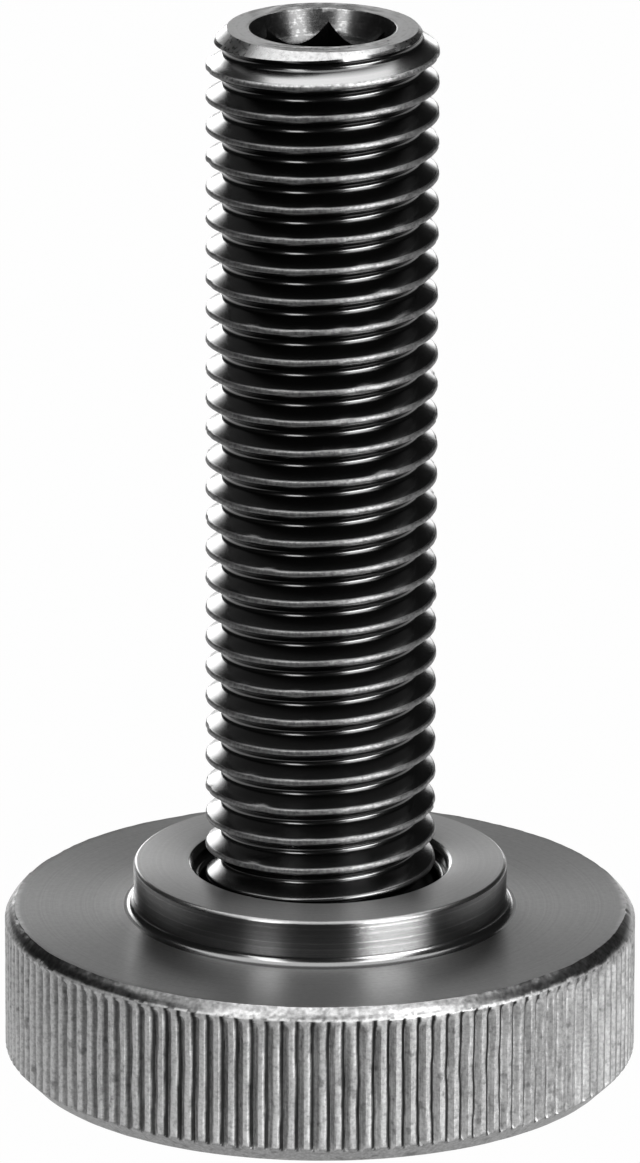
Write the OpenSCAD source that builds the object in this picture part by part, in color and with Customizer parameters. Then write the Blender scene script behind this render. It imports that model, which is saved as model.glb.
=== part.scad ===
// Support screw: a threaded steel spindle fixed upright in a broad knurled foot.
// Millimetres, +Z up. The origin is the centre of the foot's underside.

/* [Overall] */
// Height from the underside of the foot to the top end of the spindle
overall_height = 88; // [76:0.5:110]

/* [Thread] */
// Nominal diameter of the thread
thread_d = 19.05; // [17:0.05:22]
// Rise of the thread in one turn
thread_pitch = 2.54; // [2:0.02:3]
// How much smaller the crests are than the nominal diameter
crest_allowance = 0.15; // [0.05:0.05:0.35]
// How far the end chamfer goes in below the bottom of the thread grooves
end_bevel = 0.3; // [0.1:0.01:0.4]
// Height of a crest on the +X side above the last whole turn, as a share of one turn
thread_start = 0.91; // [0:0.005:1]
// Flat steps that make up one turn of the thread
thread_steps = 32; // [24:1:36]

/* [Hexagon socket] */
// Width across the flats
socket_flats = 9.525; // [8:0.025:10]
// Depth of the flats below the top end
socket_depth = 10; // [7:0.5:14]
// How far the countersunk mouth reaches past the hexagon's corners
mouth_margin = 0.45; // [0.2:0.05:0.7]
// Half angle of the countersunk mouth
mouth_half_angle = 25; // [20:1:45]
// Turn of the hexagon about the axis
socket_turn = 24; // [0:1:59]

/* [Foot] */
// Diameter over the knurl
foot_d = 51.9; // [46:0.1:64]
// Height of the broad disc
disc_height = 13.4; // [12:0.1:18]
// Width of the bevel round the disc's upper edge
top_bevel = 0.7; // [0.6:0.05:1.2]
// Height of the bevel round the disc's upper edge
top_bevel_height = 0.98; // [0.6:0.02:1.4]
// Bevel round the disc's lower edge
bottom_bevel = 1.5; // [0.8:0.05:2]

/* [Collar] */
// Diameter of the collar
collar_d = 30.7; // [28:0.1:36]
// Height of the collar above the disc
collar_height = 3.8; // [2.5:0.1:6]
// Bevel on the collar's upper edge
collar_bevel = 0.3; // [0.15:0.05:0.6]
// Radius of the fillet where the collar meets the disc
collar_fillet = 0.8; // [0.4:0.05:1.5]

/* [Knurl] */
// Distance between neighbouring ridges round the rim
knurl_pitch = 1.245; // [1.1:0.005:1.6]
// Depth of the grooves
knurl_depth = 0.45; // [0.25:0.05:0.55]
// Flat left on each ridge, as a share of the pitch
knurl_land = 0.24; // [0.15:0.01:0.4]

/* [Seat of the spindle in the foot] */
// Height of the shelf that the spindle's shoulder stands on
seat_height = 9; // [8:0.1:10.5]
// Solid floor left under the spindle
floor_height = 5.3; // [4:0.1:6]
// Space left under the end of the spigot
spigot_end_gap = 0.15; // [0.1:0.05:0.5]
// Width of the shoulder round the spigot
shoulder_width = 0.75; // [0.5:0.05:1.5]
// Fit gap round the pressed spigot
spigot_gap = 0.01; // [0.01:0.01:0.05]
// Space between the thread crests and the bore of the foot
bore_gap = 0.3; // [0.2:0.05:0.6]
// Step from the bore out to the wider recess at the top of the collar
recess_step = 0.6; // [0.4:0.05:1]
// Depth of that recess
recess_depth = 1.15; // [0.8:0.05:2]
// Bevel on the recess's edge
recess_bevel = 0.45; // [0.2:0.05:0.5]
// Bevel on the bore's edge, at the bottom of the recess
bore_bevel = 0.3; // [0.1:0.05:0.35]

/* [Hidden] */
$fn = 96;
tiny = 0.01;

// Thread form: 60 degree flanks with flat crests and flat grooves
groove_depth = 0.5625 * thread_pitch;
crest_flat = thread_pitch / 8;
flank = groove_depth * tan(30);
groove_flat = thread_pitch - crest_flat - 2 * flank;
crest_r = (thread_d - crest_allowance) / 2;
groove_r = crest_r - groove_depth;
end_r = groove_r - end_bevel;
form_z = [-crest_flat / 2, crest_flat / 2, crest_flat / 2 + flank, crest_flat / 2 + flank + groove_flat];
form_r = [crest_r, crest_r, groove_r, groove_r];

// Spindle ends
spigot_r = end_r - shoulder_width;
spigot_bottom = floor_height + spigot_end_gap;

// Socket
socket_r = socket_flats / sqrt(3);
mouth_r = socket_r + mouth_margin;
mouth_depth = (mouth_r - socket_flats / 2 + 0.1) / tan(mouth_half_angle);
drill_depth = socket_flats / 2 * tan(31);

// Foot
foot_r = foot_d / 2;
collar_r = collar_d / 2;
foot_height = disc_height + collar_height;
bore_r = crest_r + bore_gap;
recess_r = bore_r + recess_step;
ridges = round(PI * foot_d / knurl_pitch);
ridge_angle = 360 / ridges;

// Rows of points up one column of the thread, from below the lower end to above the top end
first_turn = floor(seat_height / thread_pitch) - 2;
turns = ceil((overall_height - seat_height) / thread_pitch) + 5;
rows = 4 * turns;

// Height of one row of the thread at a given column, before the ends are cut
function row_z(column, row) =
    (first_turn + floor(row / 4) + thread_start + column / thread_steps) * thread_pitch + form_z[row % 4];

// Radius of one row, held inside the 45 degree bevels at both ends
function row_r(row, z) =
    min(form_r[row % 4], end_r + overall_height - z, end_r + z - seat_height);

function row_point(column, row) =
    let (
        z = min(max(row_z(column, row), seat_height), overall_height),
        r = row_r(row, z),
        a = 360 * column / thread_steps
    )
    [r * cos(a), r * sin(a), z];

// First and last row of a column that lie on the end faces
function low_row(column) =
    len([for (row = [0 : rows - 1]) if (row_z(column, row) <= seat_height) 1]) - 1;

function high_row(column) =
    len([for (row = [0 : rows - 1]) if (row_z(column, row) < overall_height) 1]);

// The threaded rod with flat ends: a grid that follows the helix and closes on itself one turn higher
module threaded_rod() {
    low = [for (c = [0 : thread_steps - 1]) low_row(c)];
    high = [for (c = [0 : thread_steps - 1]) high_row(c)];
    points = [
        for (c = [0 : thread_steps - 1])
            for (row = [0 : rows - 1])
                row_point(c, row)
    ];
    function at(c, row) = c * rows + min(max(row, low[c]), high[c]);
    function beside(c, row) = c + 1 < thread_steps ? at(c + 1, row) : at(0, row + 4);
    function whole(t) = t[0] != t[1] && t[1] != t[2] && t[2] != t[0];
    sides = [
        for (c = [0 : thread_steps - 1])
            for (row = [0 : rows - 2])
                each [
                    [at(c, row), at(c, row + 1), beside(c, row + 1)],
                    [at(c, row), beside(c, row + 1), beside(c, row)]
                ]
    ];
    bottom = [for (c = [0 : thread_steps - 1]) at(c, 0)];
    top = [for (c = [thread_steps - 1 : -1 : 0]) at(c, rows - 1)];
    polyhedron(points = points, faces = concat([for (t = sides) if (whole(t)) t], [bottom], [top]));
}

// Hexagon socket: flats, drilled end below them and a countersunk mouth
module socket() {
    translate([0, 0, overall_height - socket_depth])
        rotate([0, 0, socket_turn])
            cylinder(r = socket_r, h = socket_depth + 1, $fn = 6);
    translate([0, 0, overall_height - socket_depth - drill_depth])
        cylinder(r1 = 0, r2 = socket_flats / 2, h = drill_depth);
    translate([0, 0, overall_height - mouth_depth])
        rotate_extrude()
            polygon([
                [0, 0],
                [mouth_r - mouth_depth * tan(mouth_half_angle), 0],
                [mouth_r + tan(mouth_half_angle), mouth_depth + 1],
                [0, mouth_depth + 1]
            ]);
}

module threaded_spindle() {
    color("#1c1c1e")
        difference() {
            union() {
                threaded_rod();
                translate([0, 0, spigot_bottom])
                    cylinder(r = spigot_r, h = seat_height - spigot_bottom + 2);
            }
            socket();
        }
}

// Half section of the foot without its knurl, wide enough to leave the rim to the knurled outline
module foot_section() {
    rim_r = foot_r + 0.4;
    top_slope = top_bevel_height / top_bevel;
    difference() {
        union() {
            polygon([
                [0, 0],
                [foot_r - bottom_bevel, 0],
                [rim_r, bottom_bevel + 0.4],
                [rim_r, disc_height - top_bevel_height - 0.4 * top_slope],
                [foot_r - top_bevel, disc_height],
                [0, disc_height]
            ]);
            polygon([
                [0, disc_height - 1],
                [collar_r, disc_height - 1],
                [collar_r, foot_height - collar_bevel],
                [collar_r - collar_bevel, foot_height],
                [0, foot_height]
            ]);
            difference() {
                translate([collar_r - tiny, disc_height - tiny])
                    square(collar_fillet + tiny);
                translate([collar_r + collar_fillet, disc_height + collar_fillet])
                    circle(r = collar_fillet);
            }
        }
        polygon([
            [-1, floor_height],
            [spigot_r + spigot_gap, floor_height],
            [spigot_r + spigot_gap, seat_height],
            [bore_r, seat_height],
            [bore_r, foot_height - recess_depth - bore_bevel],
            [bore_r + bore_bevel, foot_height - recess_depth],
            [recess_r, foot_height - recess_depth],
            [recess_r, foot_height - recess_bevel],
            [recess_r + recess_bevel + 1, foot_height + 1],
            [-1, foot_height + 1]
        ]);
    }
}

// Outline of the rim: straight ridges with a narrow flat and a vee groove between them
module knurl_outline() {
    polygon([
        for (i = [0 : ridges - 1])
            each [
                for (k = [-1, 1])
                    foot_r * [cos((i + k * knurl_land / 2) * ridge_angle), sin((i + k * knurl_land / 2) * ridge_angle)],
                (foot_r - knurl_depth) * [cos((i + 0.5) * ridge_angle), sin((i + 0.5) * ridge_angle)]
            ]
    ]);
}

module knurled_foot() {
    color("#8b8d8f")
        intersection() {
            rotate_extrude()
                foot_section();
            translate([0, 0, -1])
                linear_extrude(height = foot_height + 2)
                    knurl_outline();
        }
}

threaded_spindle();
knurled_foot();
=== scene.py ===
import math

import bpy
import numpy as np
from mathutils import Matrix


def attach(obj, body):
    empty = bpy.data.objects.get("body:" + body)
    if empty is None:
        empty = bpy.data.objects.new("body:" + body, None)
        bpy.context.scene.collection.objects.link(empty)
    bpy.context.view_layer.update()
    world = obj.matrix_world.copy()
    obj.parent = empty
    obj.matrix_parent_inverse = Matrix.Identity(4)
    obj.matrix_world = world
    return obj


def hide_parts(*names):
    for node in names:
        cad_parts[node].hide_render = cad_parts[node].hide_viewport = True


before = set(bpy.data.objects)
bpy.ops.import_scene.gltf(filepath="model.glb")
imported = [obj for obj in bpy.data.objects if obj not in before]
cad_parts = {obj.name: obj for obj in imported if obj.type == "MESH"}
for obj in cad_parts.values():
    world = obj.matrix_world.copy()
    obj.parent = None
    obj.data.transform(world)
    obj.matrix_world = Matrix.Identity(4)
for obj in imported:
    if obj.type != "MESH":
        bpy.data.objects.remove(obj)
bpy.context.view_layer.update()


# Spindle. A long steel screw with a coarse right-hand thread, cut from bar, blackened and oiled.
# Its top end has a 45 degree bevel, a countersunk mouth and a broached hexagon socket.
# A plain spigot at its lower end is pressed into the foot. Sizes are in millimetres.
mm = 0.001
pitch = 2.54
crest_r = 9.45
crest_place = 0.91
end_r = 7.722
top_z = 88.0
shoulder_z = 9.0
spigot_r = 6.972
spigot_z = 5.45
spigot_bevel = 0.3
socket_flats = 9.525
socket_turn = math.radians(24)
socket_floor = 78.0
drill_depth = 2.6
mouth_r = 5.95
mouth_slope = math.tan(math.radians(25))
middle_r = 0.4
steps = 120


def speckle(x, y, seed):
    """Smooth random field between 0 and 1, with one lump to each unit of x and y."""
    xi, yi = np.floor(x), np.floor(y)
    u, v = x - xi, y - yi
    u, v = u * u * (3 - 2 * u), v * v * (3 - 2 * v)

    def lump(i, j):
        h = np.sin(i * 127.1 + j * 311.7 + seed * 74.7) * 43758.5453
        return h - np.floor(h)

    low = lump(xi, yi) * (1 - u) + lump(xi + 1, yi) * u
    high = lump(xi, yi + 1) * (1 - u) + lump(xi + 1, yi + 1) * u
    return low * (1 - v) + high * v


def ramp(value, start, end):
    """Runs from 0 at the start to 1 at the end, and stays level outside them."""
    return np.clip((value - start) / (end - start), 0, 1)


def round_axis(radius, z, angle):
    """Points at the given radius, height and angle round the axis, one to a row."""
    xyz = np.broadcast_arrays(radius * np.cos(angle), radius * np.sin(angle), z)
    return np.stack(xyz, axis=-1).reshape(-1, 3)


# One turn of the thread form: distance along the axis from the middle of the crest, and depth. It starts in
# the rounded groove below. The crest is rounded too, most on its upper edge.
root_r = 0.45
root_u, root_d = -1.21, 1.0247
root_arc = np.radians([60, 45, 30, 15, 0, -15, -30, -45, -60])
side_u = np.array([0.10, 0.14, 0.17, 0.205, 0.25, 0.30, 0.56])
lower_d = np.array([0, 0.004, 0.022, 0.068, 0.152, 0.243, 0.695])
upper_d = np.array([0.024, 0.038, 0.056, 0.092, 0.162, 0.245, 0.695])
form_u = np.concatenate((root_u - root_r * np.sin(root_arc), -side_u[::-1], [0], side_u))
form_d = np.concatenate((root_d + root_r * np.cos(root_arc), lower_d[::-1], [0.010], upper_d))
per_turn = len(form_u)

# The form climbs the helix: one column of rows for each step of a turn, from below the lower end to above the top.
first_turn = int(shoulder_z / pitch) - 2
turns = int((top_z - shoulder_z) / pitch) + 6
rows = turns * per_turn
row = np.arange(rows)
column = np.arange(steps)
angle = column * 2 * math.pi / steps
row_u = form_u[row % per_turn][None, :]
along = (first_turn + row // per_turn)[None, :] + column[:, None] / steps
crest_z = (along + crest_place) * pitch
thread_z = crest_z + row_u
depth = np.broadcast_to(form_d[row % per_turn][None, :], thread_z.shape).copy()

# Above the collar the crests are rubbed to a fine grain, with a nick here and there. Below it they stay
# smooth and black: unrubbed inside the collar, and painted shade in its recess.
wear_and_shade_z, wear_and_shade_run = 17.0, 0.8
wear_depth, full_wear_depth = 0.2375, 0.0475
grain_depth, grain_length, grain_width = 0.03, 0.30, 0.12
nick_depth, nick_length, nick_limit = 0.45, 0.9, 0.76
worn_above_shade = ramp(depth, wear_depth, full_wear_depth) * ramp(thread_z, wear_and_shade_z, wear_and_shade_z + wear_and_shade_run)
run = along * 2 * math.pi * crest_r
nick = nick_depth * np.maximum(speckle(run / nick_length, row_u * 0, 5) - nick_limit, 0)
depth += worn_above_shade * (grain_depth * speckle(run / grain_length, row_u / grain_width, 3) + nick)

# Both ends are cut flat inside a 45 degree bevel.
thread_r = crest_r - depth
held_z = np.clip(thread_z, shoulder_z, top_z)
bevel_r = np.minimum(end_r + top_z - held_z, end_r + held_z - shoulder_z)
bevelled = bevel_r < thread_r
held_r = np.minimum(thread_r, bevel_r)
low_row = (thread_z <= shoulder_z).sum(axis=1) - 1
high_row = (thread_z < top_z).sum(axis=1)

# Bare steel shows on the bevels and a little on the crests. The upper flank of the last turn is painted lighter:
# painted light where no turn above overhangs it.
bevel_bare, flank_bare, crest_bare = 0.50, 0.42, 0.17
flank_z, flank_run = 83.9, 0.7
flank_foot, flank_top = 1.1, 0.8
flank_light_mask = ramp(crest_z, flank_z, flank_z + flank_run) * (row_u > 0) * ramp(depth, flank_foot, flank_top)
thread_bare = np.where(bevelled, bevel_bare, np.maximum(crest_bare * worn_above_shade, flank_bare * flank_light_mask))
thread_crest = np.where(bevelled, 0.0, worn_above_shade)


def at(c, j):
    """Number of the point in a column and row, held between the two end faces."""
    return c * rows + np.clip(j, low_row[c], high_row[c])


# The last column joins the first one a turn higher. A face that has shrunk to a triangle drops its spare corner.
c, j = np.meshgrid(column, np.arange(rows - 1), indexing="ij")
beside = (c + 1) % steps
shift = np.where(c + 1 == steps, per_turn, 0)
quads = np.stack((at(c, j), at(beside, j + shift), at(beside, j + 1 + shift), at(c, j + 1)), axis=2)
quads = quads.reshape(-1, 4)
quads = quads[(quads[:, 0] != quads[:, 3]) | (quads[:, 1] != quads[:, 2])]
faces = []
for a, b, d, e in quads.tolist():
    faces.append([a, b, d] if a == e else [a, b, e] if b == d else [a, b, d, e])

# The thread is black. The bevel, face and mouth of the top end are turned steel.
thread_slot, end_slot = 0, 1
on_bevel = bevelled.reshape(-1)[quads].all(axis=1)
at_top = held_z.reshape(-1)[quads].mean(axis=1) > top_z / 2
slots = np.where(on_bevel & at_top, end_slot, thread_slot).tolist()

# End face, countersunk mouth, hexagon walls and drilled floor, ring inside ring, then the spigot below.
face_rings = 9
lip = 0.05
crease_step = 0.03
hex_r = socket_flats / 2 / np.cos((angle - socket_turn) % (math.pi / 3) - math.pi / 6)
cone_end = top_z - (mouth_r - hex_r) / mouth_slope
face_r = np.linspace(end_r - lip, mouth_r + lip, face_rings)
top_rings = [(r, top_z) for r in face_r] + [(mouth_r, top_z - crease_step)]
for t in (0.25, 0.5, 0.75, 1):
    top_rings.append((mouth_r + (hex_r - mouth_r) * t, top_z + (cone_end - top_z) * t))
turned_rings = len(top_rings)
top_rings += [(hex_r, cone_end - crease_step), (hex_r, (socket_floor + cone_end) / 2), (hex_r, socket_floor),
              (hex_r * 0.9, socket_floor - 0.1), (middle_r, socket_floor - drill_depth)]
bottom_rings = [(spigot_r, shoulder_z), (spigot_r, spigot_z + spigot_bevel),
                (spigot_r - spigot_bevel, spigot_z), (middle_r, spigot_z)]
points = [round_axis(held_r, held_z, angle[:, None])]
points += [round_axis(r, z, angle) for r, z in top_rings + bottom_rings]

# The end face is rubbed light in spots, more at its two edges. Its left and right are lighter too, a painted sheen.
face_bare = []
edge_rub = 0.23 * np.abs(np.linspace(-1, 1, face_rings)) ** 3
for r, rub in zip(face_r, edge_rub):
    spots = 1.1 * speckle(angle * r / 0.7, r / 0.35 + angle * 0, 21) - 0.03
    face_bare.append(np.clip(spots + rub + 0.65 * np.cos(angle) ** 2, 0.2, 1))
ring_count = len(top_rings) + len(bottom_rings)
spindle_bare = np.concatenate([thread_bare.reshape(-1), *face_bare, np.zeros((ring_count - face_rings) * steps)])
spindle_crest = np.concatenate([thread_crest.reshape(-1), np.zeros(ring_count * steps)])


def band(lower, upper):
    """Faces between two rings of point numbers."""
    return np.stack((lower, np.roll(lower, -1), np.roll(upper, -1), upper), axis=1).tolist()


first = len(points[0])
edge = at(column, np.full(steps, rows - 1))
for i in range(len(top_rings)):
    inner = first + i * steps + column
    faces += band(edge, inner)
    slots += [end_slot if i < turned_rings else thread_slot] * steps
    edge = inner
faces.append(edge.tolist())
first += len(top_rings) * steps
edge = at(column, np.zeros(steps, dtype=int))
for i in range(len(bottom_rings)):
    inner = first + i * steps + column
    faces += band(inner, edge)
    edge = inner
faces.append(edge[::-1].tolist())
slots += [thread_slot] * (len(faces) - len(slots))


def make_piece(name, points, faces, slots=0, **fields):
    """Makes a smooth-shaded mesh object, with material numbers for its faces and named values at its points."""
    mesh = bpy.data.meshes.new(name)
    mesh.from_pydata(points.tolist(), [], faces)
    for field, values in fields.items():
        mesh.attributes.new(field, "FLOAT", "POINT").data.foreach_set("value", values)
    mesh.polygons.foreach_set("use_smooth", np.ones(len(faces), dtype=bool))
    mesh.polygons.foreach_set("material_index", np.full(len(faces), slots, dtype=np.int32))
    piece = bpy.data.objects.new(name, mesh)
    bpy.context.collection.objects.link(piece)
    return piece


crease = math.radians(32)
spindle = make_piece("spindle", np.concatenate(points) * mm, faces, slots, bare=spindle_bare, crest=spindle_crest)
spindle.data.set_sharp_from_angle(angle=crease)


def to_linear(code):
    """A #rrggbb colour as linear red, green, blue and full alpha."""
    parts = [int(code[i:i + 2], 16) / 255 for i in (1, 3, 5)]
    return (*(p / 12.92 if p <= 0.04045 else ((p + 0.055) / 1.055) ** 2.4 for p in parts), 1.0)


def new_steel(name):
    """A new metal material, with its node tree and its shader."""
    material = bpy.data.materials.new(name)
    material.use_nodes = True
    shader = material.node_tree.nodes["Principled BSDF"]
    shader.inputs["Metallic"].default_value = 1.0
    return material, material.node_tree, shader


def add_node(tree, kind, values=None, links=None, **settings):
    """Adds a node, with its settings, its sockets' values and the links into it."""
    node = tree.nodes.new(kind)
    for name, value in settings.items():
        setattr(node, name, value)
    for name, value in (values or {}).items():
        node.inputs[name].default_value = value
    for name, source in (links or {}).items():
        tree.links.new(source, node.inputs[name])
    return node


# Black oxide on cut steel, oiled: almost a black mirror on the flanks, with the crests rubbed down to
# a dull grey grain. The real grain is finer; it is drawn this coarse so that it shows.
black_oxide, tree, shader = new_steel("oiled_black_oxide_steel")
place = add_node(tree, "ShaderNodeTexCoord")
# This field holds rubbed bare steel together with painted light and painted shade.
rubbed_and_lit = add_node(tree, "ShaderNodeAttribute", attribute_name="bare")
crest = add_node(tree, "ShaderNodeAttribute", attribute_name="crest")
grain = add_node(tree, "ShaderNodeTexNoise", {"Scale": 1 / (0.30 * mm), "Detail": 2.0, "Roughness": 0.6},
                 {"Vector": place.outputs["Object"]})
mottle = add_node(tree, "ShaderNodeMapRange", {"From Min": 0.3, "From Max": 0.7, "To Min": 0.1, "To Max": 1.8},
                  {"Value": grain.outputs["Fac"]})
speck = add_node(tree, "ShaderNodeMix", {"A": 1.0},
                 {"Factor": crest.outputs["Fac"], "B": mottle.outputs["Result"]}, data_type="FLOAT")
patch = add_node(tree, "ShaderNodeMath", None, {0: rubbed_and_lit.outputs["Fac"], 1: speck.outputs["Result"]},
                 operation="MULTIPLY", use_clamp=True)
tone = add_node(tree, "ShaderNodeMix", {"A": to_linear("#545454"), "B": to_linear("#c8c8c8")},
                {"Factor": patch.outputs["Value"]}, data_type="RGBA")
tree.links.new(tone.outputs["Result"], shader.inputs["Base Color"])
gloss = add_node(tree, "ShaderNodeMapRange", {"From Min": 0.0, "From Max": 1.0, "To Min": 0.19, "To Max": 0.45},
                 {"Value": crest.outputs["Fac"]})
tree.links.new(gloss.outputs["Result"], shader.inputs["Roughness"])
bump_height = add_node(tree, "ShaderNodeMath", None, {0: grain.outputs["Fac"], 1: crest.outputs["Fac"]},
                       operation="MULTIPLY")
bump = add_node(tree, "ShaderNodeBump", {"Strength": 0.6, "Distance": 0.03 * mm},
                {"Height": bump_height.outputs["Value"]})
tree.links.new(bump.outputs["Normal"], shader.inputs["Normal"])
spindle.data.materials.append(black_oxide)

# Worn turned steel of the spindle's end: a dark satin face, rubbed light in spots, with fine rings left by the
# tool, which draw its gloss out across them. The real rings are finer; they are drawn this coarse to show.
turned_steel, tree, shader = new_steel("worn_turned_steel")
shader.inputs["Anisotropic"].default_value = 0.4
shader.inputs["Anisotropic Rotation"].default_value = 0.25
place = add_node(tree, "ShaderNodeTexCoord")
flat = add_node(tree, "ShaderNodeVectorMath", {1: (1, 1, 0)}, {0: place.outputs["Object"]}, operation="MULTIPLY")
radius = add_node(tree, "ShaderNodeVectorMath", None, {0: flat.outputs["Vector"]}, operation="LENGTH")
axes = add_node(tree, "ShaderNodeSeparateXYZ", None, {"Vector": place.outputs["Object"]})
tool_path = add_node(tree, "ShaderNodeMath", None, {0: radius.outputs["Value"], 1: axes.outputs["Z"]},
                     operation="ADD")
rings = add_node(tree, "ShaderNodeTexNoise", {"Scale": 1 / (0.25 * mm), "Detail": 4.0, "Roughness": 0.7},
                 {"W": tool_path.outputs["Value"]}, noise_dimensions="1D")
cloud = add_node(tree, "ShaderNodeTexNoise", {"Scale": 1 / (0.35 * mm), "Detail": 4.0, "Roughness": 0.6},
                 {"Vector": place.outputs["Object"]})
# This field holds rubbed bare steel together with painted light and painted shade.
rubbed_and_lit = add_node(tree, "ShaderNodeAttribute", attribute_name="bare")
mottle = add_node(tree, "ShaderNodeMapRange", {"From Min": 0.3, "From Max": 0.7, "To Min": -0.17, "To Max": 0.17},
                  {"Value": cloud.outputs["Fac"]}, name="mottle")
streak = add_node(tree, "ShaderNodeMapRange", {"From Min": 0.3, "From Max": 0.7, "To Min": -0.15, "To Max": 0.15},
                  {"Value": rings.outputs["Fac"]}, name="streak")
uneven_tone = add_node(tree, "ShaderNodeMath", None, {0: mottle.outputs["Result"], 1: streak.outputs["Result"]},
                       operation="ADD")
amount = add_node(tree, "ShaderNodeMath", None, {0: rubbed_and_lit.outputs["Fac"], 1: uneven_tone.outputs["Value"]},
                  operation="ADD", use_clamp=True)
tone = add_node(tree, "ShaderNodeMix", {"A": to_linear("#565656"), "B": to_linear("#c8c8c8")},
                {"Factor": amount.outputs["Value"]}, data_type="RGBA", name="tone")
tree.links.new(tone.outputs["Result"], shader.inputs["Base Color"])
gloss = add_node(tree, "ShaderNodeMapRange", {"From Min": 0.38, "From Max": 1.0, "To Min": 0.26, "To Max": 0.50},
                 {"Value": amount.outputs["Value"]}, name="gloss")
tree.links.new(gloss.outputs["Result"], shader.inputs["Roughness"])
bump = add_node(tree, "ShaderNodeBump", {"Strength": 0.3, "Distance": 0.01 * mm}, {"Height": rings.outputs["Fac"]},
                name="tool_marks")
tree.links.new(bump.outputs["Normal"], shader.inputs["Normal"])
spindle.data.materials.append(turned_steel)

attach(spindle, "root")
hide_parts("threaded_spindle")


# Foot. A turned steel disc with a raised collar, bored and recessed for the spindle.
# Its faces are turned and blackened; its rim is straight knurled and rubbed back to bare steel.
foot_r = 25.94
disc_z = 13.4
top_bevel = 0.7
top_bevel_height = 0.98
bottom_bevel = 1.5
ridges = 131
knurl_depth = 0.45
collar_r = 15.35
collar_z = 17.2
fillet = 0.8
recess_r = 10.35
recess_z = 16.05
bore_r = 9.75
seat_r = 6.982
seat_z = 5.3
fine, coarse = 12, 2

# Rings of points up the rim, closest together at the bevels, with twelve points to a ridge. to_right is 1 at the
# right end of the rim, as seen from the front, and -1 at its left end.
around = ridges * fine
fine_column = np.arange(around)
rim_z = np.concatenate((
    [0, 0.5, 0.9, 1.1, 1.3, 1.45, 1.6, 1.75, 1.9, 2.1],
    np.linspace(2.5, 11.1, 20),
    [11.3, 11.5, 11.7, 11.85, 12.0, 12.15, 12.3, 12.4, 12.5, 12.65, 12.8, 13.0, 13.18, 13.28, 13.35, disc_z]))
ridge, height = np.meshgrid(fine_column / fine, rim_z, indexing="xy")
rim_angle = 2 * math.pi * ridge / ridges
to_right = np.cos(rim_angle)

# The ridges wander a little. Each has its own width, and the groove beside it its own depth and ends.
slow_wander, quick_wander = 0.10, 0.05
least_land, land_spread = 0.11, 0.09
least_cut, cut_spread, cut_roundness = 0.74, 0.30, 1.3
groove_top, top_spread, top_run = 12.4, 0.5, 0.5
groove_foot, foot_spread, foot_run = 0.85, 0.4, 0.4
pit_depth, pit_limit = 0.05, 0.55
wander = slow_wander * (speckle(ridge * 0.6, height / 2.5, 11) - 0.5)
wander += quick_wander * (speckle(ridge * 2.5, height / 0.9, 22) - 0.5)
share = (ridge + wander) % 1.0
number = np.floor(ridge + wander) % ridges
land = least_land + land_spread * speckle(number * 1.7, height / 5.0, 12)
cut = np.sin(ramp(np.minimum(share, 1 - share), land, 0.5) * math.pi / 2) ** cut_roundness
groove = knurl_depth * (least_cut + cut_spread * speckle(number * 2.3, height / 4.0, 13)) * cut
top_end = groove_top - top_spread * speckle(number * 3.1, number * 0, 17)
low_end = groove_foot + foot_spread * speckle(number * 2.9, number * 0, 18)
groove *= np.sqrt(ramp(height, top_end, top_end - top_run) * ramp(height, low_end, low_end + foot_run))
pits = pit_depth * np.maximum(speckle(ridge * 2.6, height / 0.45, 14) - pit_limit, 0)
knurl_r = foot_r - groove - pits

# The lower bevel is straight. The upper one is a little rounded, steeper below, with an unevenly worn edge.
lower_dents, upper_dents = 0.04, 0.02
edge_wear, edge_wear_reach = 0.22, 0.35
lower_bevel = foot_r - bottom_bevel + height - lower_dents * speckle(ridge * 0.9, height, 15)
drop = (disc_z - height) / top_bevel_height
rounded = np.where(drop < 1, drop * (1.28 - 0.28 * drop), 1 + 0.72 * (drop - 1))
upper_bevel = foot_r - top_bevel + top_bevel * rounded
upper_bevel -= upper_dents * speckle(ridge * 0.8, height / 0.3, 16) * (drop > 0.05)
uneven = 0.6 * speckle(ridge * 0.35, height * 0, 23) + 0.4 * speckle(ridge * 1.7, height * 0, 24)
upper_bevel -= edge_wear * uneven * ramp(drop, edge_wear_reach, 0)
rim_r = np.minimum(knurl_r, np.minimum(lower_bevel, upper_bevel))
on_edge = rim_r < knurl_r - 1e-6

# Bare steel shows on the ridges and on the sides of the grooves that face left; the sides that face right keep
# blacking.
# The contrast between the two sides is deepened with painted light and shade, less on the right half, whose ridges
# are painted duller. At the left end the sides that face right are painted lighter; at the right end too, and those
# that face left darker. Each ridge is a little different.
right_side = ramp(share, 0.18, 0.28) * ramp(share, 0.60, 0.46)
left_side = ramp(share, 0.50, 0.58) * ramp(share, 0.86, 0.76)
right_half = ramp(to_right, -0.05, 0.45)
left_end = ramp(to_right, -0.5, -0.9)
right_end = ramp(to_right, 0.6, 0.9)
ridge_painted_shade = 0.34 * right_half
right_side_blacking_and_shade = 0.97 - 0.30 * right_half - 0.55 * left_end - 0.35 * right_end
left_side_blacking_and_shade = 0.05 * (1 - right_half) + 0.30 * right_end
rim_bare = 1 - ridge_painted_shade * (1 - left_side)
rim_bare -= right_side_blacking_and_shade * right_side + left_side_blacking_and_shade * left_side
each_ridge = 0.80 + 0.32 * speckle(number * 1.9, height / 3.0, 26)
rim_bare = np.clip(rim_bare * each_ridge, 0, 1)

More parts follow.
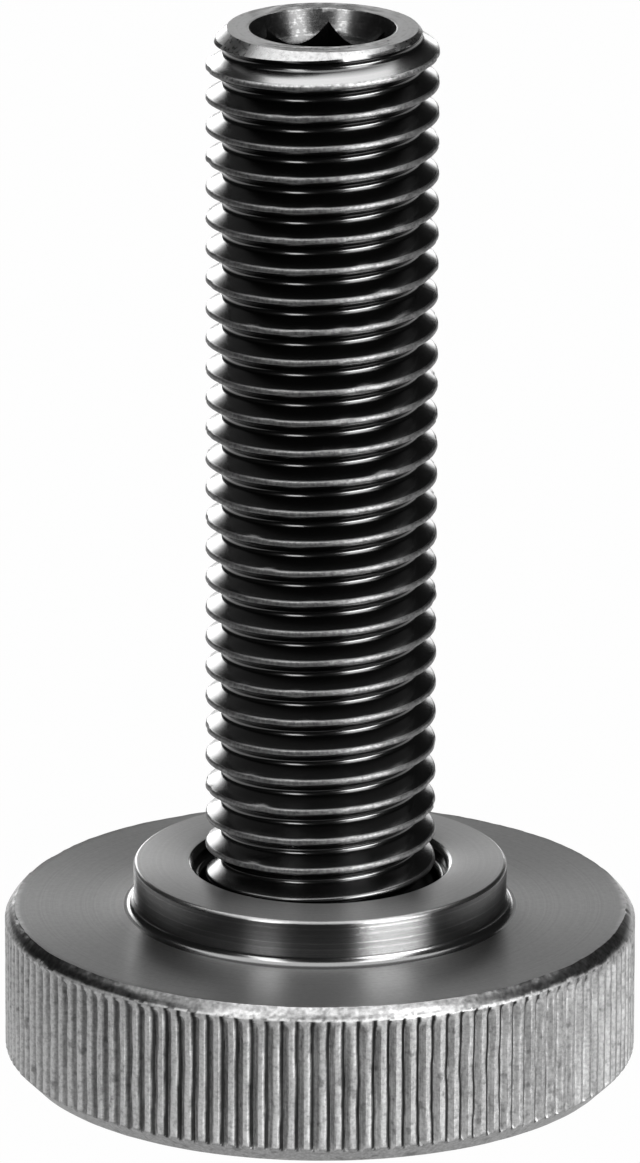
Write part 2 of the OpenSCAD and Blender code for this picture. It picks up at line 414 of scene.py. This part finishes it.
# The bevels are rubbed too. The upper one is smooth above a ragged line, where the knurl runs out. The smooth edge
# is painted lightest in front and at its two ends, and painted darker at its sides, more on the left, with spots of
# wear.
ragged_z, smooth_run = 12.36, 0.15
front_bare, side_painted_shade, end_painted_light, left_painted_shade = 0.55, 0.2, 0.6, 0.15
upper_rough_bare, lower_rough_bare = 0.9, 0.52
ragged = ragged_z + 0.24 * speckle(ridge * 1.3, height * 0, 19) + 0.12 * speckle(ridge * 4.1, height * 0, 20)
to_side = np.abs(to_right)
edge_bare = front_bare - side_painted_shade * ramp(to_side, 0.1, 0.4) + end_painted_light * ramp(to_side, 0.95, 0.99)
edge_bare -= left_painted_shade * ramp(to_right, -0.25, -0.45) * (to_side < 0.93)
edge_bare *= 0.55 + 0.9 * speckle(ridge * 4.3, height / 0.16, 25)
rough_bare = np.where(height > disc_z / 2, upper_rough_bare, lower_rough_bare)
rim_bare = np.where(on_edge, np.where(height > ragged, edge_bare, rough_bare), rim_bare)
rim_smooth = np.where(on_edge, ramp(height, ragged, ragged + smooth_run), 0)

# Half section of the turned faces: in over the disc, up the fillet and the collar, then down the recess, the bore
# and the seat. Each point has a radius, a height, how bare it is (on the fillet, painted shade), and the material
# from there to the next point.
knurl_slot, face_slot, side_slot, black_slot = range(4)
disc_bare, fillet_bare, collar_edge_bare, collar_bare = 0.42, 0.15, 0.3, 0.82
section = [(r, disc_z, disc_bare, face_slot) for r in (24.6, 22.0, 19.0)]
for bend in np.radians([0, 15, 30, 45, 60, 75]):
    section.append((collar_r + fillet - fillet * math.sin(bend), disc_z + fillet - fillet * math.cos(bend),
                    fillet_bare if bend > 0 else disc_bare, black_slot))
section += [(collar_r, z, 0.0, side_slot) for z in (disc_z + fillet, collar_z - 0.32)]
section += [(collar_r - inset, collar_z - below, collar_edge_bare, face_slot)
            for inset, below in ((0.03, 0.22), (0.12, 0.09), (0.24, 0.015))]
section += [(r, collar_z, collar_bare, face_slot) for r in (collar_r - 0.34, 12.5, recess_r + 0.51)]
section += [(r, z, 0.0, black_slot) for r, z in (
    (recess_r + 0.43, collar_z - 0.02), (recess_r + 0.05, collar_z - 0.40), (recess_r, collar_z - 0.48),
    (recess_r, recess_z + 0.05), (recess_r - 0.05, recess_z), (bore_r + 0.33, recess_z),
    (bore_r + 0.27, recess_z - 0.03), (bore_r + 0.05, recess_z - 0.25), (bore_r, recess_z - 0.31),
    (bore_r, 12.5), (bore_r, shoulder_z), (seat_r, shoulder_z), (seat_r, seat_z), (middle_r, seat_z))]
section_r, section_z, section_bare, section_slot = zip(*section)

# The section is turned round the axis with two points to a ridge, so each of its first faces meets six of the rim's.
wide = ridges * coarse
step = fine // coarse
plain_column = np.arange(wide)
plain_angle = 2 * math.pi * plain_column / wide
points = [round_axis(rim_r, height, rim_angle)]
points += [round_axis(r, z, plain_angle) for r, z in zip(section_r, section_z)]
faces = [fine_column[::-1].tolist()]
for i in range(len(rim_z) - 1):
    faces += band(i * around + fine_column, (i + 1) * around + fine_column)
slots = [knurl_slot] * len(faces)
edge = (len(rim_z) - 1) * around
first = len(points[0])
for i in range(wide):
    outer = [edge + (i * step + k) % around for k in range(step + 1)]
    faces.append(outer + [first + (i + 1) % wide, first + i])
slots += [face_slot] * wide
for i in range(len(section) - 1):
    faces += band(first + i * wide + plain_column, first + (i + 1) * wide + plain_column)
    slots += [section_slot[i]] * wide
faces.append((first + (len(section) - 1) * wide + plain_column).tolist())
slots.append(section_slot[-1])
foot = make_piece("foot", np.concatenate(points) * mm, faces, slots,
                  bare=np.concatenate([rim_bare.reshape(-1), np.repeat(section_bare, wide)]),
                  smooth_edge=np.concatenate([rim_smooth.reshape(-1), np.ones(len(section) * wide)]))
foot.data.set_sharp_from_angle(angle=crease)

# Knurled bare steel: rolled ridges rubbed pale and grainy, with blacking left in the grooves. The real grain is
# finer; it is drawn this coarse so that it shows.
bare_steel, tree, shader = new_steel("knurled_bare_steel")
place = add_node(tree, "ShaderNodeTexCoord")
# This field holds rubbed bare steel together with painted light and painted shade.
ridge_top = add_node(tree, "ShaderNodeAttribute", attribute_name="bare")
grain = add_node(tree, "ShaderNodeTexNoise", {"Scale": 1 / (0.3 * mm), "Detail": 2.0, "Roughness": 0.6},
                 {"Vector": place.outputs["Object"]})
mottle = add_node(tree, "ShaderNodeMapRange", {"From Min": 0.3, "From Max": 0.7, "To Min": 0.7, "To Max": 1.2},
                  {"Value": grain.outputs["Fac"]})
dents = add_node(tree, "ShaderNodeTexNoise", {"Scale": 1 / (0.8 * mm), "Detail": 2.0},
                 {"Vector": place.outputs["Object"]})
dent = add_node(tree, "ShaderNodeMapRange", {"From Min": 0.26, "From Max": 0.42, "To Min": 0.55, "To Max": 1.0},
                {"Value": dents.outputs["Fac"]})
uneven_tone = add_node(tree, "ShaderNodeMath", None, {0: dent.outputs["Result"], 1: mottle.outputs["Result"]},
                       operation="MULTIPLY")
amount = add_node(tree, "ShaderNodeMath", None, {0: ridge_top.outputs["Fac"], 1: uneven_tone.outputs["Value"]},
                  operation="MULTIPLY", use_clamp=True)
tone = add_node(tree, "ShaderNodeMix", {"A": to_linear("#202020"), "B": to_linear("#bcbcbc")},
                {"Factor": amount.outputs["Value"]}, data_type="RGBA")
tree.links.new(tone.outputs["Result"], shader.inputs["Base Color"])
turned = add_node(tree, "ShaderNodeAttribute", attribute_name="smooth_edge")
gloss = add_node(tree, "ShaderNodeMapRange", {"From Min": 0.0, "From Max": 1.0, "To Min": 0.55, "To Max": 0.30},
                 {"Value": turned.outputs["Fac"]})
tree.links.new(gloss.outputs["Result"], shader.inputs["Roughness"])
rough = add_node(tree, "ShaderNodeMapRange", {"From Min": 0.0, "From Max": 1.0, "To Min": 0.4, "To Max": 0.15},
                 {"Value": turned.outputs["Fac"]})
bump = add_node(tree, "ShaderNodeBump", {"Distance": 0.05 * mm},
                {"Height": grain.outputs["Fac"], "Strength": rough.outputs["Result"]})
tree.links.new(bump.outputs["Normal"], shader.inputs["Normal"])
foot.data.materials.append(bare_steel)


def vary(material, name, changes):
    """A copy of a material under its own name, with some of its nodes' values changed."""
    variant = material.copy()
    variant.name = name
    for node, socket, value in changes:
        variant.node_tree.nodes[node].inputs[socket].default_value = value
    return variant


# Blackened turned steel: smooth dark grey faces with faint rings, of one even gloss.
smooth_steel = vary(turned_steel, "blackened_turned_steel", (
    ("Principled BSDF", "Roughness", 0.315),
    ("Principled BSDF", "Anisotropic", 0.72),
    ("mottle", "To Min", -0.06),
    ("mottle", "To Max", 0.06),
    ("streak", "To Min", -0.06),
    ("streak", "To Max", 0.06),
    ("tone", "A", to_linear("#6c6c6c"))))
smooth_steel.node_tree.nodes.remove(smooth_steel.node_tree.nodes["gloss"])
foot.data.materials.append(smooth_steel)

# Coarsely turned steel on the collar's side: deeper tool rings that smear its gloss up and down.
coarse_steel = vary(smooth_steel, "coarsely_turned_steel", (
    ("Principled BSDF", "Roughness", 0.25),
    ("Principled BSDF", "Anisotropic", 0.85),
    ("streak", "To Min", -0.16),
    ("streak", "To Max", 0.16),
    ("tone", "A", to_linear("#666666")),
    ("tool_marks", "Strength", 0.9)))
foot.data.materials.append(coarse_steel)

# The fillet and the recess round the spindle take the spindle's darker black finish, which on the fillet is painted
# shade in the corner.
foot.data.materials.append(black_oxide)

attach(foot, "root")
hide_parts("knurled_foot")


# Studio. A paper floor that turns up into a wall behind the part, in a dim room. Sizes here are in metres.
# Soft lights hang overhead, stand to the right and left and lie low on the right; three more are behind.
sweep_steps = 96
wall_z = 1.75
sweep_column = np.arange(sweep_steps)
sweep_angle = sweep_column * 2 * math.pi / sweep_steps
lift = ramp(np.sin(sweep_angle), 0.93, 0.975)
sweep_rings = [(0.4, 0.0), (2.4, 0.0), (2.75, 0.06), (2.95, 0.25), (3.0, 0.5), (3.0, wall_z)]
points = [round_axis(r, z * lift, sweep_angle) for r, z in sweep_rings]
faces = [sweep_column.tolist()]
for i in range(len(sweep_rings) - 1):
    faces += band(i * sweep_steps + sweep_column, (i + 1) * sweep_steps + sweep_column)
sweep = make_piece("paper_sweep", np.concatenate(points), faces)

# White paper that glows. It is plain white to the camera. In the gloss of the steel its glow is painted light: white
# close to the part, greyer higher up, further off and to the left, and dark in front of the part, standing for the
# unlit room.
paper = bpy.data.materials.new("white_paper")
paper.use_nodes = True
tree = paper.node_tree
tree.nodes.remove(tree.nodes["Principled BSDF"])
place = add_node(tree, "ShaderNodeTexCoord")
axes = add_node(tree, "ShaderNodeSeparateXYZ", None, {"Vector": place.outputs["Object"]})
distance = add_node(tree, "ShaderNodeVectorMath", None, {0: place.outputs["Object"]}, operation="LENGTH")
back = add_node(tree, "ShaderNodeMath", {1: -0.42}, {0: distance.outputs["Value"], 2: axes.outputs["Y"]},
                operation="MULTIPLY_ADD")
behind = add_node(tree, "ShaderNodeMapRange",
                  {"From Min": -0.085, "From Max": -0.055, "To Min": 0.02, "To Max": 1.0},
                  {"Value": back.outputs["Value"]}, interpolation_type="SMOOTHSTEP")
ray = add_node(tree, "ShaderNodeLightPath")
seen = add_node(tree, "ShaderNodeMath", None, {0: ray.outputs["Is Camera Ray"], 1: ray.outputs["Is Glossy Ray"]},
                operation="MAXIMUM")
seen = add_node(tree, "ShaderNodeMath", None, {0: seen.outputs["Value"], 1: ray.outputs["Is Transmission Ray"]},
                operation="MAXIMUM")
share_seen = add_node(tree, "ShaderNodeMath", {1: 0.99}, {0: seen.outputs["Value"]}, operation="MULTIPLY")
across = add_node(tree, "ShaderNodeMapRange", {"From Min": -0.1, "From Max": 0.3, "To Min": 0.25, "To Max": 0.6},
                  {"Value": axes.outputs["X"]})
near = add_node(tree, "ShaderNodeMapRange", {"From Min": 0.3, "From Max": 0.9, "To Min": 1.0, "To Max": 0.0},
                {"Value": distance.outputs["Value"]})
far = add_node(tree, "ShaderNodeMapRange", {"To Max": 1.0},
               {"Value": near.outputs["Result"], "To Min": across.outputs["Result"]})
paper_light = add_node(tree, "ShaderNodeMapRange", {"From Min": 0.02, "From Max": 0.30, "To Max": 0.50},
                       {"Value": axes.outputs["Z"], "To Min": far.outputs["Result"]})
bright = add_node(tree, "ShaderNodeMath", None, {0: behind.outputs["Result"], 1: paper_light.outputs["Result"]},
                  operation="MULTIPLY")
bright = add_node(tree, "ShaderNodeMath", None, {0: bright.outputs["Value"], 1: ray.outputs["Is Camera Ray"]},
                  operation="MAXIMUM")
matt = add_node(tree, "ShaderNodeBsdfDiffuse", {"Color": to_linear("#f6f6f6")})
glow = add_node(tree, "ShaderNodeEmission", {"Color": to_linear("#ffffff")}, {"Strength": bright.outputs["Value"]})
both = add_node(tree, "ShaderNodeMixShader", None,
                {0: share_seen.outputs["Value"], 1: matt.outputs["BSDF"], 2: glow.outputs["Emission"]})
tree.links.new(both.outputs["Shader"], tree.nodes["Material Output"].inputs["Surface"])
sweep.data.materials.append(paper)

# The room is white to the camera and gives only a little light.
world = bpy.data.worlds.new("dim_room")
world.use_nodes = True
tree = world.node_tree
ray = add_node(tree, "ShaderNodeLightPath")
level = add_node(tree, "ShaderNodeMapRange", {"To Min": 0.03, "To Max": 1.0},
                 {"Value": ray.outputs["Is Camera Ray"]})
tree.links.new(level.outputs["Result"], tree.nodes["Background"].inputs["Strength"])
tree.nodes["Background"].inputs["Color"].default_value = to_linear("#ffffff")
bpy.context.scene.world = world


def soft_light(name, place, aim, size, radiance, roll=0):
    """A rectangular soft light of the given brightness, turned to its aim and rolled in its own plane."""
    lamp = bpy.data.lights.new(name, "AREA")
    lamp.shape = "RECTANGLE"
    lamp.size, lamp.size_y = size
    lamp.energy = radiance * math.pi * size[0] * size[1]
    holder = bpy.data.objects.new(name, lamp)
    bpy.context.collection.objects.link(holder)
    away = np.array(place) - np.array(aim)
    away = away / np.linalg.norm(away)
    side = np.cross((0, 1, 0) if abs(away[2]) > 0.9 else (0, 0, 1), away)
    side = side / np.linalg.norm(side)
    facing = Matrix((side, np.cross(away, side), away)).transposed().to_4x4()
    holder.matrix_world = Matrix.Translation(place) @ facing @ Matrix.Rotation(math.radians(roll), 4, "Z")
    holder.visible_camera = False


soft_light("overhead_light", (-0.05, -0.22, 1.1), (-0.05, -0.22, 0.0), (1.85, 1.45), 2.6)
soft_light("right_light", (0.83, -0.87, 0.92), (0.0, 0.0, 0.92), (0.64, 1.80), 6.0)
soft_light("left_light", (-0.71, -0.97, 1.07), (0.0, 0.0, 1.07), (0.40, 1.27), 6.8)
soft_light("low_light", (0.84, -0.86, 0.17), (0.0, 0.0, 0.05), (0.95, 0.26), 14.0)
soft_light("back_light", (-0.54, 2.0, 0.36), (0.0, 0.0, 0.05), (0.34, 0.95), 4.6, -33)
soft_light("right_back_light", (0.50, 2.0, 0.20), (0.0, 0.0, 0.05), (0.16, 0.45), 3.0, 33)
soft_light("back_glow", (-0.58, 2.0, 0.44), (0.0, 0.0, 0.05), (0.44, 1.30), 1.0, -33)

# Camera, at the photograph's height and distance, looking 18 degrees down.
camera_place = (-0.018684, -0.9051, 0.3312)
camera_turn, camera_pitch, camera_roll = math.radians(-1.177), math.radians(90 - 17.76), math.radians(0.177)
lens = bpy.data.cameras.new("camera")
lens.sensor_fit = "AUTO"
lens.sensor_width = 36
lens.lens = 360.7
lens.clip_start = 0.05
lens.clip_end = 20
camera = bpy.data.objects.new("camera", lens)
aim = Matrix.Rotation(camera_turn, 4, "Z") @ Matrix.Rotation(camera_pitch, 4, "X")
camera.matrix_world = Matrix.Translation(camera_place) @ aim @ Matrix.Rotation(camera_roll, 4, "Z")
bpy.context.collection.objects.link(camera)
bpy.context.scene.camera = camera
bpy.context.scene.view_settings.view_transform = "Standard"
